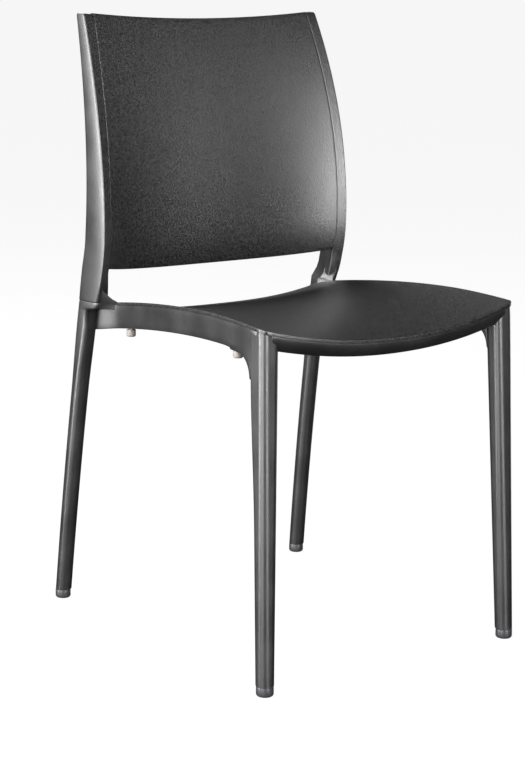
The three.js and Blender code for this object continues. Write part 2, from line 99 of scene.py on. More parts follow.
UPRIGHT_WIDTH, UPRIGHT_TOP_DEPTH, UPRIGHT_WAIST_DEPTH = 18, 18, 46
UPRIGHT_REAR_SHARE = 0.55
OUTER_SWELL = 4.5
WAIST_Z, WAIST_Y = SEAT_HEIGHT + 66, SEAT_REAR_Y - 31.5
TOP_LEAN, FOOT_LEAN = 73.5, 21.5
BACK_THICKNESS = 5
BACK_LOWER_Z, BACK_LOWER_RISE = SEAT_HEIGHT + 12, 8
TOP_DIP = 8
# powers of the curves: the higher, the later and sharper a curve turns
FRONT_BOW_TURN, REAR_BOW_TURN = 2.8, 2
SEAT_REAR_TURN, SEAT_FRONT_TURN = 1.75, 2
REAR_DISH_TURN, FRONT_DISH_TURN, DISH_BLEND_TURN = 2.8, 2, 3
TOP_LEAN_TURN, FOOT_LEAN_TURN, OUTER_TURN, WIDTH_TURN = 1.9, 2.2, 2.2, 2
BACK_LOWER_TURN, BACK_TOP_TURN, TOP_DIP_TURN = 4, 2, 2
BACK_TOP_DISH, BACK_LOWER_DISH = 8, 30
GLIDE_HEIGHT = 13
LEG_REAR_Y = FRONT_LEG_TOP.y + FRONT_LEG_SIDE / 2
FILLET_END_Y = LEG_REAR_Y + RAIL_FILLET
PAD_END_Y, PAD_STEP = FILLET_END_Y + PAD_LENGTH, 3
# the rail's end turns out to the rear leg and narrows inside it
RAIL_FLARE_Y, RAIL_FLARE_LENGTH, RAIL_FLARE = SEAT_REAR_Y - 26, 37, 8
RAIL_TAPER, RAIL_END_WIDTH_SHARE, RAIL_END_TOP_Z = 16, 0.05, KNEE_Z - 2
# how far rails and apron reach up into the seat shell
SHELL_OVERLAP = 1.2


def mix(a, b, t):
    """A share t of the way from a to b."""
    return a + (b - a) * t


def share_of(value):
    """Kept between 0 and 1."""
    return min(max(value, 0.0), 1.0)


def smooth(value):
    """A soft step from 0 to 1."""
    t = share_of(value)
    return t * t * (3 - 2 * t)


def seat_half(y):
    """Half width of the seat at this depth."""
    back = max((y - FRONT_LEG_TOP.y) / (SEAT_REAR_Y - FRONT_LEG_TOP.y), 0)
    return mix(SEAT_FRONT_HALF, SEAT_REAR_HALF, back)


def seat_front_y(x):
    """The seat's bowed front edge, with its rounded corners."""
    bow = SEAT_FRONT_Y + FRONT_BULGE * (abs(x) / SEAT_FRONT_HALF) ** FRONT_BOW_TURN
    reach = min(max(abs(x) - (SEAT_FRONT_HALF - SEAT_CORNER), 0), SEAT_CORNER)
    return bow + SEAT_CORNER - math.sqrt(SEAT_CORNER ** 2 - reach ** 2)


def seat_rear_y(x):
    """The seat's rear edge, slightly bowed."""
    return SEAT_REAR_Y - REAR_BULGE * (x / SEAT_REAR_HALF) ** REAR_BOW_TURN


def seat_edge_z(y):
    """Level of the seat's side edge: a crest behind the front legs, falling to the rear."""
    behind = max(y - SEAT_CREST_Y, 0) / (SEAT_REAR_Y - SEAT_CREST_Y)
    ahead = max(SEAT_CREST_Y - y, 0) / (SEAT_CREST_Y - FRONT_LEG_TOP.y)
    drop = SEAT_REAR_DROP * behind ** SEAT_REAR_TURN + SEAT_FRONT_DROP * ahead ** SEAT_FRONT_TURN
    return SEAT_HEIGHT - drop


def seat_top_z(x, y):
    """Level of the dished seat, which is flatter across its middle towards the rear."""
    to_front = share_of((SEAT_REAR_Y - y) / (SEAT_REAR_Y - SEAT_FRONT_Y))
    depth = mix(REAR_DISH, FRONT_DISH, to_front ** DISH_BLEND_TURN)
    side = min(abs(x) / seat_half(y), 1)
    return seat_edge_z(y) - depth * (1 - side ** mix(REAR_DISH_TURN, FRONT_DISH_TURN, to_front))


def back_front_y(z):
    """Front face of the uprights, seen from the side: forward at the waist, leaning back above."""
    above = max(z - WAIST_Z, 0) / (OVERALL_HEIGHT - WAIST_Z)
    below = max(WAIST_Z - z, 0) / (WAIST_Z - KNEE_Z)
    return WAIST_Y + TOP_LEAN * above ** TOP_LEAN_TURN + FOOT_LEAN * below ** FOOT_LEAN_TURN


def upright_outer_x(z):
    """Outer face of the upright, leaning in towards the top."""
    above = max(z - WAIST_Z, 0) / (OVERALL_HEIGHT - WAIST_Z)
    return mix(UPRIGHT_OUTER_X, UPRIGHT_TOP_X, above ** OUTER_TURN)


def upright_width(z):
    """Width of the upright's front face, as wide as the leg at the knee."""
    down = share_of((WAIST_Z - z) / (WAIST_Z - KNEE_Z))
    return mix(UPRIGHT_WIDTH, REAR_LEG_SIDE, down ** WIDTH_TURN)


def back_hollow(x, z):
    """How far the back is hollowed behind the uprights' front line."""
    up = share_of((z - BACK_LOWER_Z) / (OVERALL_HEIGHT - BACK_LOWER_Z))
    down = share_of((z - KNEE_Z) / (BACK_LOWER_Z - KNEE_Z))
    side = min(abs(x) / upright_outer_x(z), 1)
    across = 1 - side ** mix(BACK_LOWER_TURN, BACK_TOP_TURN, up)
    return mix(BACK_LOWER_DISH, BACK_TOP_DISH, up) * down * across


def upright_rear_y(z):
    """Rear face of the upright, which comes down on the rear face of the leg."""
    up = share_of((z - WAIST_Z) / (OVERALL_HEIGHT - WAIST_Z))
    down = share_of((WAIST_Z - z) / (WAIST_Z - KNEE_Z))
    waist = back_front_y(z) + mix(UPRIGHT_WAIST_DEPTH, UPRIGHT_TOP_DEPTH, up)
    knee = REAR_LEG_TOP.y + REAR_LEG_SIDE / 2
    return mix(waist, mix(WAIST_Y + UPRIGHT_WAIST_DEPTH, knee, down), min(down * 2, 1))


def back_top_z(x):
    """The back's top edge, which dips in the middle."""
    return OVERALL_HEIGHT - TOP_DIP * (1 - min(abs(x) / UPRIGHT_TOP_X, 1) ** TOP_DIP_TURN)


def rail_under_z(y):
    """Underside of the side rail, with the fillet behind the front leg and the buffer's pad."""
    pad = PAD_DROP * smooth((PAD_END_Y + PAD_STEP / 2 - y) / PAD_STEP)
    into = min(max(FILLET_END_Y - y, 0), RAIL_FILLET)
    fillet = RAIL_FILLET - math.sqrt(RAIL_FILLET ** 2 - into ** 2)
    return seat_edge_z(y) - RAIL_HEIGHT - pad - fillet


# ---------------------------------------------------------------- materials


def linear(colour):
    """sRGB hex to linear RGBA."""
    parts = [int(colour[i:i + 2], 16) / 255 for i in (1, 3, 5)]
    return [p / 12.92 if p <= 0.04045 else ((p + 0.055) / 1.055) ** 2.4 for p in parts] + [1]


def node(tree, kind, settings=None, inputs=None, links=None):
    """Adds a node, sets its properties and sockets, and joins sockets to other nodes' outputs."""
    made = tree.nodes.new(kind)
    for name, value in (settings or {}).items():
        setattr(made, name, value)
    for name, value in (inputs or {}).items():
        made.inputs[name].default_value = value
    for name, (source, output) in (links or {}).items():
        tree.links.new(source.outputs[output], made.inputs[name])
    return made


def per_metre(size_mm):
    """Noise scale that gives features of about this size."""
    return 1 / (size_mm * MM)


def new_material(name, colour, roughness, specular=0.5):
    material = bpy.data.materials.new(name)
    material.use_nodes = True
    tree = material.node_tree
    shader = tree.nodes["Principled BSDF"]
    shader.inputs["Base Color"].default_value = linear(colour)
    shader.inputs["Roughness"].default_value = roughness
    shader.inputs["IOR"].default_value = 1.49
    shader.inputs["Specular IOR Level"].default_value = specular
    place = node(tree, "ShaderNodeTexCoord")
    return material, tree, shader, place


GRAIN_SIZE, CLUMP_SIZE, BLAST_SIZE, FLOW_SIZE = 1.3, 2.6, 1.8, 45
SCUFF_SIZE, SCRATCH_SIZE, MOTTLE_SIZE = 2.5, 4, 300
PAPER_LEVEL = 0.92


def grained_polypropylene():
    """Charcoal polypropylene from a spark-eroded mould: an even, matt, pebbled grain.
    Each grain catches the light on one side, so the face looks speckled and soft.
    The grain is about 1 mm on the real one and is drawn a little coarser so that it shows."""
    material, tree, shader, place = new_material(
        "grained_charcoal_polypropylene", "#0c0c0d", 0.38, 1.0)
    pebbles = node(tree, "ShaderNodeTexVoronoi", {"feature": "SMOOTH_F1"},
                   {"Scale": per_metre(GRAIN_SIZE), "Smoothness": 0.6}, {"Vector": (place, "Object")})
    clumps = node(tree, "ShaderNodeTexNoise", None,
                  {"Scale": per_metre(CLUMP_SIZE), "Detail": 2.0, "Roughness": 0.6},
                  {"Vector": (place, "Object")})
    relief = node(tree, "ShaderNodeMix", {"data_type": "FLOAT"}, {"Factor": 0.6},
                  {"A": (pebbles, "Distance"), "B": (clumps, "Fac")})
    bump = node(tree, "ShaderNodeBump", None, {"Strength": 0.6, "Distance": 0.0005},
                {"Height": (relief, "Result")})
    tree.links.new(bump.outputs["Normal"], shader.inputs["Normal"])
    polish = node(tree, "ShaderNodeMapRange", None,
                  {"From Min": 0.35, "From Max": 0.65, "To Min": 0.33, "To Max": 0.43},
                  {"Value": (clumps, "Fac")})
    tree.links.new(polish.outputs["Result"], shader.inputs["Roughness"])
    tone = node(tree, "ShaderNodeValToRGB", None, None, {"Fac": (clumps, "Fac")})
    tone.color_ramp.elements[0].position = 0.35
    tone.color_ramp.elements[0].color = linear("#040405")
    tone.color_ramp.elements[1].position = 0.68
    tone.color_ramp.elements[1].color = linear("#1e1e20")
    tree.links.new(tone.outputs["Color"], shader.inputs["Base Color"])
    return material


def smooth_polypropylene():
    """The same charcoal polypropylene against a fine vapour-blasted mould face: satin,
    with a faint unevenness in the sheen where the plastic flowed and cooled."""
    material, tree, shader, place = new_material(
        "satin_charcoal_polypropylene", "#0f0f10", 0.44, 1.0)
    flow = node(tree, "ShaderNodeTexNoise", None,
                {"Scale": per_metre(FLOW_SIZE), "Detail": 2.0, "Roughness": 0.5},
                {"Vector": (place, "Object")})
    sheen = node(tree, "ShaderNodeMapRange", None,
                 {"From Min": 0.3, "From Max": 0.7, "To Min": 0.37, "To Max": 0.46},
                 {"Value": (flow, "Fac")})
    tree.links.new(sheen.outputs["Result"], shader.inputs["Roughness"])
    blast = node(tree, "ShaderNodeTexNoise", None,
                 {"Scale": per_metre(BLAST_SIZE), "Detail": 2.0, "Roughness": 0.6},
                 {"Vector": (place, "Object")})
    bump = node(tree, "ShaderNodeBump", None, {"Strength": 0.25, "Distance": 0.0002},
                {"Height": (blast, "Fac")})
    tree.links.new(bump.outputs["Normal"], shader.inputs["Normal"])
    tone = node(tree, "ShaderNodeValToRGB", None, None, {"Fac": (blast, "Fac")})
    tone.color_ramp.elements[0].position = 0.3
    tone.color_ramp.elements[0].color = linear("#09090a")
    tone.color_ramp.elements[1].position = 0.75
    tone.color_ramp.elements[1].color = linear("#19191a")
    tree.links.new(tone.outputs["Color"], shader.inputs["Base Color"])
    return material


def buffer_elastomer():
    """Off-white thermoplastic elastomer, moulded: a soft sheen, a little light passes into it,
    and it is scuffed where it rubs the chair below. It is kept darker than the real one, which
    would burn out in the light that the near-black body needs."""
    material, tree, shader, place = new_material("moulded_off_white_elastomer", "#76746d", 0.5, 0.4)
    shader.inputs["Subsurface Weight"].default_value = 0.15
    shader.inputs["Subsurface Scale"].default_value = 0.002
    scuff = node(tree, "ShaderNodeTexNoise", None,
                 {"Scale": per_metre(SCUFF_SIZE), "Detail": 4.0, "Roughness": 0.65},
                 {"Vector": (place, "Object")})
    tone = node(tree, "ShaderNodeValToRGB", None, None, {"Fac": (scuff, "Fac")})
    tone.color_ramp.elements[0].position = 0.32
    tone.color_ramp.elements[0].color = linear("#6a6862")
    tone.color_ramp.elements[1].position = 0.6
    tone.color_ramp.elements[1].color = linear("#807d76")
    tree.links.new(tone.outputs["Color"], shader.inputs["Base Color"])
    bump = node(tree, "ShaderNodeBump", None, {"Strength": 0.3, "Distance": 0.0001},
                {"Height": (scuff, "Fac")})
    tree.links.new(bump.outputs["Normal"], shader.inputs["Normal"])
    return material


def glide_polyamide():
    """Dark grey polyamide, moulded: harder and a shade lighter than the body, with fine
    scratches round the foot where it slides on the floor."""
    material, tree, shader, place = new_material("moulded_grey_polyamide", "#2e2e30", 0.38, 0.5)
    stretch = node(tree, "ShaderNodeMapping", None, {"Scale": (1, 1, 6)},
                   {"Vector": (place, "Object")})
    scratches = node(tree, "ShaderNodeTexNoise", None,
                     {"Scale": per_metre(SCRATCH_SIZE), "Detail": 5.0, "Roughness": 0.7},
                     {"Vector": (stretch, "Vector")})
    tone = node(tree, "ShaderNodeValToRGB", None, None, {"Fac": (scratches, "Fac")})
    tone.color_ramp.elements[0].position = 0.35
    tone.color_ramp.elements[0].color = linear("#262628")
    tone.color_ramp.elements[1].position = 0.7
    tone.color_ramp.elements[1].color = linear("#3a3a3c")
    tree.links.new(tone.outputs["Color"], shader.inputs["Base Color"])
    bump = node(tree, "ShaderNodeBump", None, {"Strength": 0.3, "Distance": 0.0001},
                {"Height": (scratches, "Fac")})
    tree.links.new(bump.outputs["Normal"], shader.inputs["Normal"])
    return material


def studio_floor():
    """Seamless white studio paper, matt, with the slightest mottle. It is clear from below, so
    that the chair's underside can be looked at."""
    material, tree, shader, place = new_material("matt_white_studio_paper", "#464646", 0.9, 0.0)
    mottle = node(tree, "ShaderNodeTexNoise", None, {"Scale": per_metre(MOTTLE_SIZE), "Detail": 2.0},
                  {"Vector": (place, "Object")})
    tone = node(tree, "ShaderNodeValToRGB", None, None, {"Fac": (mottle, "Fac")})
    tone.color_ramp.elements[0].color = linear("#434343")
    tone.color_ramp.elements[1].color = linear("#494949")
    tree.links.new(tone.outputs["Color"], shader.inputs["Base Color"])
    shader.inputs["Emission Color"].default_value = linear("#ffffff")
    shader.inputs["Emission Strength"].default_value = PAPER_LEVEL
    side = node(tree, "ShaderNodeNewGeometry")
    clear = node(tree, "ShaderNodeBsdfTransparent")
    see_through = node(tree, "ShaderNodeMixShader", None, None, {"Fac": (side, "Backfacing")})
    tree.links.new(shader.outputs["BSDF"], see_through.inputs[1])
    tree.links.new(clear.outputs["BSDF"], see_through.inputs[2])
    tree.links.new(see_through.outputs["Shader"], tree.nodes["Material Output"].inputs["Surface"])
    return material


GRAINED = grained_polypropylene()
SATIN = smooth_polypropylene()
ELASTOMER = buffer_elastomer()
POLYAMIDE = glide_polyamide()

# ---------------------------------------------------------------- workshop


SAME_PLACE = 0.00001


def pick(piece):
    """Selects this object alone."""
    bpy.ops.object.select_all(action="DESELECT")
    piece.select_set(True)
    bpy.context.view_layer.objects.active = piece


def block(name, cells, place):
    """A cube cut across by bisecting into cells, whose corners then go to the form.
    place gets each corner's share along the cube's three sides, 0 to 1."""
    bpy.ops.object.select_all(action="DESELECT")
    bpy.ops.mesh.primitive_cube_add(size=1, location=(0.5, 0.5, 0.5))
    piece = bpy.context.object
    piece.name = piece.data.name = name
    bpy.ops.object.transform_apply(location=True)
    bpy.ops.object.mode_set(mode="EDIT")
    for axis, count in enumerate(cells):
        across = [0, 0, 0]
        across[axis] = 1
        for cut in range(1, count):
            bpy.ops.mesh.select_all(action="SELECT")
            at = [cut / count * step for step in across]
            bpy.ops.mesh.bisect(plane_co=at, plane_no=across)
    bpy.ops.object.mode_set(mode="OBJECT")
    for corner in piece.data.vertices:
        corner.co = Vector(place(*corner.co)) * MM
    return piece


def bar(name, rings):
    """A flat outline drawn out level by level, each level then set to its own ring of points."""
    count = len(rings[0])
    bpy.ops.object.select_all(action="DESELECT")
    bpy.ops.mesh.primitive_circle_add(vertices=count, radius=1, fill_type="NGON")
    piece = bpy.context.object
    piece.name = piece.data.name = name
    bpy.ops.object.mode_set(mode="EDIT")
    for level in range(len(rings) - 1):
        bpy.ops.mesh.extrude_region_move(TRANSFORM_OT_translate={"value": (0, 0, 1)})
    bpy.ops.object.mode_set(mode="OBJECT")
    for corner in piece.data.vertices:
        turn = math.atan2(corner.co.y, corner.co.x) / math.tau * count
        corner.co = Vector(rings[round(corner.co.z)][round(turn) % count]) * MM
    return piece


def face_out(piece):
    """Joins corners that have met, takes out faces left without area, and turns the rest outwards."""
    pick(piece)
    bpy.ops.object.mode_set(mode="EDIT")
    bpy.ops.mesh.select_all(action="SELECT")
    bpy.ops.mesh.remove_doubles(threshold=SAME_PLACE)
    bpy.ops.mesh.dissolve_degenerate(threshold=SAME_PLACE)
    bpy.ops.mesh.normals_make_consistent(inside=False)
    bpy.ops.object.mode_set(mode="OBJECT")


def round_edges(piece, radius, angle=40, segments=3):
    """Rounds the edges that turn by more than this angle."""
    pick(piece)
    edge = piece.modifiers.new("rounded_edges", "BEVEL")
    edge.width = radius * MM
    edge.segments = segments
    edge.limit_method = "ANGLE"
    edge.angle_limit = math.radians(angle)
    edge.use_clamp_overlap = True
    edge.harden_normals = False
    bpy.ops.object.modifier_apply(modifier=edge.name)


def finish_piece(piece, material, slot_name, replaced, edge=0, edge_angle=40, smooth=35):
    face_out(piece)
    if edge:
        round_edges(piece, edge, edge_angle)
        face_out(piece)
    pick(piece)
    bpy.ops.object.shade_smooth_by_angle(angle=math.radians(smooth))
    piece.data.materials.clear()
    piece.data.materials.append(material)
    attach(piece, "root")
    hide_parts(*replaced)
    return piece


def other_side(piece, name):
    """A copy mirrored to the left, with its own mesh."""
    twin = piece.copy()
    twin.data = piece.data.copy()
    twin.name = twin.data.name = name
    bpy.context.collection.objects.link(twin)
    pick(twin)
    bpy.ops.object.mode_set(mode="EDIT")
    bpy.ops.mesh.select_all(action="SELECT")
    bpy.ops.transform.resize(value=(-1, 1, 1), center_override=(0, 0, 0))
    bpy.ops.mesh.normals_make_consistent(inside=False)
    bpy.ops.object.mode_set(mode="OBJECT")
    return twin


def pair(name, build, material, slot_name, nodes, **finish):
    """Builds the right one and its mirrored twin. nodes are the part's names, without the side."""
    right = build("right_" + name)
    left = other_side(right, "left_" + name)
    for piece, side in ((right, "right_"), (left, "left_")):
        finish_piece(piece, material, slot_name, [side + n for n in nodes], **finish)


CORNER_STEPS = 6
FLAT_STEPS = 8


def outline(half_x, half_y, radii):
    """Offsets round a rectangle with four rounded corners, anticlockwise from the +X+Y corner.
    radii are for the corners +X+Y, -X+Y, -X-Y, +X-Y."""
    points = []
    for corner, radius in enumerate(radii):
        sign_x = 1 if corner in (0, 3) else -1
        sign_y = 1 if corner in (0, 1) else -1
        for step in range(CORNER_STEPS + 1):
            turn = math.pi / 2 * (corner + step / CORNER_STEPS)
            points.append((sign_x * (half_x - radius) + radius * math.cos(turn),
                           sign_y * (half_y - radius) + radius * math.sin(turn)))
    sides = []
    for number, point in enumerate(points):
        sides.append(point)
        if number % (CORNER_STEPS + 1) == CORNER_STEPS:
            after = points[(number + 1) % len(points)]
            for step in range(1, FLAT_STEPS):
                share = step / FLAT_STEPS
                sides.append((mix(point[0], after[0], share), mix(point[1], after[1], share)))
    return sides


def steps_between(low, high, count):
    return [mix(low, high, i / count) for i in range(count + 1)]


# ---------------------------------------------------------------- legs


FULL_SWELL_HALF_DEPTH = 20


def swollen(dx, dy, half_x, half_y, share=1):
    """The outer face rounds in towards the front, more so where the section is deep."""
    if dx <= 0:
        return dx
    forward = (half_y - dy) / (2 * half_y)
    swell = OUTER_SWELL * share * share_of(half_y / FULL_SWELL_HALF_DEPTH)
    return dx - swell * forward ** 2 * dx / half_x


def front_leg_at(z):
    """Centre and half side of the front leg at a level."""
    up = z / (SEAT_HEIGHT - RAIL_HEIGHT)
    half = mix(FRONT_FOOT_SIDE, FRONT_LEG_SIDE, min(up, 1)) / 2
    return mix(FRONT_FOOT.x, FRONT_LEG_TOP.x, up), mix(FRONT_FOOT.y, FRONT_LEG_TOP.y, up), half


FRONT_LEG_LEVELS, REAR_LEG_LEVELS, UPRIGHT_LEVELS = 22, 20, 44
ABOVE_GLIDE, BELOW_SEAT_TOP = 0.4, 1.5
FILLET_END_Z, SHARPENING_HEIGHT, SHARP_CORNER = 400, 190, 1.8


def front_leg(name):
    """Tapered leg of rounded square section. Its top follows the seat and ends in the shell,
    and its rear outer corner sharpens towards the rail, to lie in one face with it."""
    rings = []
    for z in steps_between(GLIDE_HEIGHT + ABOVE_GLIDE, SEAT_HEIGHT, FRONT_LEG_LEVELS):
        x, y, half = front_leg_at(z)
        radius = mix(FRONT_FOOT_SIDE / 2 - 1, LEG_CORNER, min(z / FILLET_END_Z, 1))
        sharp = mix(SHARP_CORNER, radius, smooth((FILLET_END_Z - z) / SHARPENING_HEIGHT))
        ring = []
        for dx, dy in outline(half, half, [sharp, radius, radius, radius]):
            top = seat_top_z(x + dx, y + dy) - BELOW_SEAT_TOP
            ring.append((x + dx, y + dy, min(z, top)))
        rings.append(ring)
    return bar(name, rings)


WITNESS_DEPTH, WITNESS_HALF_HEIGHT = 0.55, 0.8
SHOULDER_CORNER = 5
CORNER_TURN_START_Z, CORNER_TURN_HEIGHT = 300, 110
SWELL_START_Z, SWELL_TURN_HEIGHT = 330, 80


def rear_leg(name):
    """Rear leg, curved back to its foot, with a deeper shoulder where the upright stands on it."""
    shoulder = KNEE_Z - SHOULDER_HEIGHT
    levels = steps_between(GLIDE_HEIGHT + ABOVE_GLIDE, shoulder - 3, REAR_LEG_LEVELS)
    levels += [shoulder - 1, shoulder + 1, shoulder + 3, KNEE_Z - 1.6, KNEE_Z - 0.7, KNEE_Z]
    rings = []
    for z in levels:
        up = z / KNEE_Z
        rise = REAR_LEG_STRAIGHTNESS * up + (1 - REAR_LEG_STRAIGHTNESS) * up ** 2
        half = mix(REAR_FOOT_SIDE, REAR_LEG_SIDE, up) / 2
        extra = (SHOULDER_DEPTH / 2 - half) * smooth((z - shoulder + 2) / 4)
        below = mix(REAR_FOOT_SIDE / 2 - 1, LEG_CORNER, up)
        radius = mix(below, SHOULDER_CORNER, smooth((z - CORNER_TURN_START_Z) / CORNER_TURN_HEIGHT))
        pinch = WITNESS_DEPTH * share_of((z - KNEE_Z + WITNESS_HALF_HEIGHT) / WITNESS_HALF_HEIGHT)
        x = mix(REAR_FOOT.x, REAR_LEG_TOP.x, up)
        y = mix(REAR_FOOT.y, REAR_LEG_TOP.y, rise) - extra
        swell_here = smooth((z - SWELL_START_Z) / SWELL_TURN_HEIGHT)
        rings.append([(x + swollen(dx, dy, half, half + extra, swell_here), y + dy, z)
                      for dx, dy in outline(half - pinch, half + extra - pinch, [radius - pinch] * 4)])
    return bar(name, rings)


# ---------------------------------------------------------------- back


TOP_ROUNDING, TOP_PINCH = 4, 1.8
BACK_TOP_FALL = 0.25
REAR_OUTER_CORNER, REAR_INNER_CORNER, FRONT_INNER_CORNER, FRONT_OUTER_CORNER = 4, 3.5, 0.8, 2.2
KNEE_CORNER_HEIGHT = 30


def upright(name):
    """Upright of the back. Its front face carries the hollow of the back on to the outer edge,
    its rear narrows, and it leans in to a thin rounded top corner."""
    levels = [KNEE_Z, KNEE_Z + 0.7, KNEE_Z + 1.6]
    levels += steps_between(KNEE_Z + 6, OVERALL_HEIGHT - TOP_ROUNDING, UPRIGHT_LEVELS)
    levels += [OVERALL_HEIGHT - 2, OVERALL_HEIGHT - 0.8, OVERALL_HEIGHT]
    rings = []
    for z in levels:
        width = upright_width(z)
        front, rear = back_front_y(z), upright_rear_y(z)
        x, y = upright_outer_x(z) - width / 2, (front + rear) / 2
        half_x, half_y = width / 2, (rear - front) / 2
        pinch = WITNESS_DEPTH * share_of((KNEE_Z + WITNESS_HALF_HEIGHT - z) / WITNESS_HALF_HEIGHT)
        top = share_of((z - OVERALL_HEIGHT + TOP_ROUNDING) / TOP_ROUNDING)
        pinch += TOP_PINCH * (1 - math.sqrt(1 - top * top))
        near_knee = smooth((KNEE_Z + KNEE_CORNER_HEIGHT - z) / KNEE_CORNER_HEIGHT)
        radii = [REAR_OUTER_CORNER, REAR_INNER_CORNER, FRONT_INNER_CORNER,
                 mix(FRONT_OUTER_CORNER, SHOULDER_CORNER, near_knee)]
        ring = []
        for dx, dy in outline(half_x - pinch, half_y - pinch, radii):
            dx = swollen(dx, dy, half_x, half_y)
            rearward = share_of((dy + half_y) / (2 * half_y))
            narrowed = mix(1, UPRIGHT_REAR_SHARE, rearward * share_of((z - KNEE_Z) / UPRIGHT_WIDTH))
            dx = half_x - (half_x - dx) * narrowed
            if dy < 0:
                dy += back_hollow(x + dx, z)
            level = min(z, back_top_z(x + dx) - (OVERALL_HEIGHT - z) * BACK_TOP_FALL)
            ring.append((x + dx, y + dy, level))
        rings.append(ring)
    return bar(name, rings)


FACING_FRONT = 0.8


def grain_front_face(piece):
    """The grain of the back runs on over the upright's front face to its outer edge."""
    piece.data.materials.append(GRAINED)
    for face in piece.data.polygons:
        if face.normal.y < -FACING_FRONT:
            face.material_index = 1


TUCK, TUCK_STEP = 1.6, 0.8


def back_panel():
    """The hollowed panel between the uprights, flush with their front faces. Its side edges
    are tucked into the uprights."""
    def place(across, deep, high):
        side = math.sin((across - 0.5) * math.pi)
        z = mix(BACK_LOWER_Z + BACK_LOWER_RISE * side ** 4, back_top_z(side * UPRIGHT_TOP_X), high)
        edge = upright_outer_x(z) - upright_width(z)
        x = side * (edge + TUCK)
        tucked = TUCK_STEP * share_of((abs(x) - edge) / TUCK)
        return x, back_front_y(z) + back_hollow(x, z) + BACK_THICKNESS * deep + tucked, z
    piece = block("back_panel_grained", (56, 1, 48), place)
    return finish_piece(piece, GRAINED, "grained_plastic", ["back_panel"], edge=1.9, edge_angle=55)


# ---------------------------------------------------------------- seat, rails and apron


def seat_shell():
    """The seat: a thin dished shell whose rounded rim stands proud of the rails below."""
    def place(across, along, high):
        side = math.sin((across - 0.5) * math.pi)
        y = mix(seat_front_y(side * SEAT_FRONT_HALF), seat_rear_y(side * SEAT_REAR_HALF), along)
        x = side * seat_half(y)
        return x, y, seat_top_z(x, y) - SEAT_THICKNESS * (1 - high)
    piece = block("seat_shell_grained", (60, 52, 1), place)
    return finish_piece(piece, GRAINED, "grained_plastic", ["seat_panel"], edge=1.6, edge_angle=55)


RAIL_STEPS = 32


def rail_stations():
    """Places along the rail, closer together round the fillet and at the step of the pad."""
    stations = [FRONT_LEG_TOP.y, LEG_REAR_Y + 0.01]
    for step in range(9, -1, -1):
        stations.append(FILLET_END_Y - RAIL_FILLET * math.sin(step / 10 * math.pi / 2))
    stations += [PAD_END_Y - 0.6, PAD_END_Y + 0.6]
    return stations + steps_between(PAD_END_Y, REAR_LEG_TOP.y, RAIL_STEPS)[1:]


INSIDE_LEG_FACE = 0.05


def rail_face_x(y, z):
    """Outer face of the rail: in one with the front leg's face, then under the seat's edge, and
    turned out to the rear leg at its end."""
    leg_x, _, half = front_leg_at(z)
    into_leg = share_of((FILLET_END_Y - y) / RAIL_FILLET)
    x = mix(seat_half(min(y, RAIL_FLARE_Y)) - RIM_PROUD, leg_x + half - INSIDE_LEG_FACE, into_leg)
    return x + RAIL_FLARE * share_of((y - RAIL_FLARE_Y) / RAIL_FLARE_LENGTH)


def side_rail(name):
    """Rail under the seat's side, one flat face with the leg, with a round fillet behind the leg
    and the flat pad that the front buffer sits on."""
    stations = rail_stations()
    last = len(stations) - 1

    def place(across, along, high):
        y = stations[round(along * last)]
        inside_leg = share_of((y - SEAT_REAR_Y) / RAIL_TAPER)
        width = RAIL_WIDTH * mix(1, RAIL_END_WIDTH_SHARE, inside_leg)
        inner = seat_half(y) - RAIL_INSET - width
        top = seat_top_z(mix(inner, seat_half(y), across), y) - SEAT_THICKNESS + SHELL_OVERLAP
        top = mix(top, min(top, RAIL_END_TOP_Z), share_of(inside_leg * 3))
        z = mix(rail_under_z(y), top, high)
        return mix(inner, rail_face_x(y, z), across), y, z
    return block(name, (2, last, 4), place)


def front_apron():
    """Apron under the front edge: it hangs from the seat and curls back under it."""
    def place(across, deep, high):
        x = mix(-FRONT_LEG_TOP.x, FRONT_LEG_TOP.x, across)
        below = 1 - high
        y = seat_front_y(x) + RAIL_INSET + APRON_SET_BACK * below ** 2 + APRON_WALL * deep
        top = seat_top_z(x, max(y, seat_front_y(x))) - SEAT_THICKNESS + SHELL_OVERLAP
        return x, y, top - (APRON_DROP - SEAT_THICKNESS + SHELL_OVERLAP) * below
    piece = block("front_apron_satin", (48, 1, 8), place)
    return finish_piece(piece, SATIN, "body_plastic", ["front_apron"], edge=2, edge_angle=50)


def rear_rail():
    """Cross rail under the rear edge of the seat."""
    rear = SEAT_REAR_Y - REAR_BULGE - RAIL_INSET

    def place(across, deep, high):
        y = mix(rear - REAR_RAIL_WALL, rear, deep)
        half = seat_half(y) - RAIL_INSET - RAIL_WIDTH + 1
        x = mix(-half, half, across)
        top = seat_top_z(x, y) - SEAT_THICKNESS + SHELL_OVERLAP
        return x, y, mix(seat_edge_z(SEAT_REAR_Y) - REAR_RAIL_HEIGHT, top, high)
    piece = block("rear_rail_satin", (32, 1, 1), place)
    return finish_piece(piece, SATIN, "body_plastic", ["rear_rail"], edge=2, edge_angle=50)


# seen from above, the web runs from a foot at the seat to a tip at the upright
WEB_FOOT, WEB_TIP = (SEAT_REAR_HALF, SEAT_REAR_Y - 33), (SEAT_REAR_HALF + 21.5, SEAT_REAR_Y - 14.5)
WEB_REAR_FOOT = (SEAT_REAR_HALF - 6.5, SEAT_REAR_Y - 1.5)
WEB_REAR_TIP = (SEAT_REAR_HALF + 10, SEAT_REAR_Y + 2)
WEB_TURN_X, WEB_TURN_Y = 1.5, 0.75
RIDGE_START, RIDGE_RUN, RIDGE_FOOT_Z, RIDGE_RISE = 1.2, 20.5, KNEE_Z + 1.4, 20.6
HOLLOW_FOOT_Z, HOLLOW_RISE, HOLLOW_REACH = KNEE_Z + 2.4, 25, 0.96
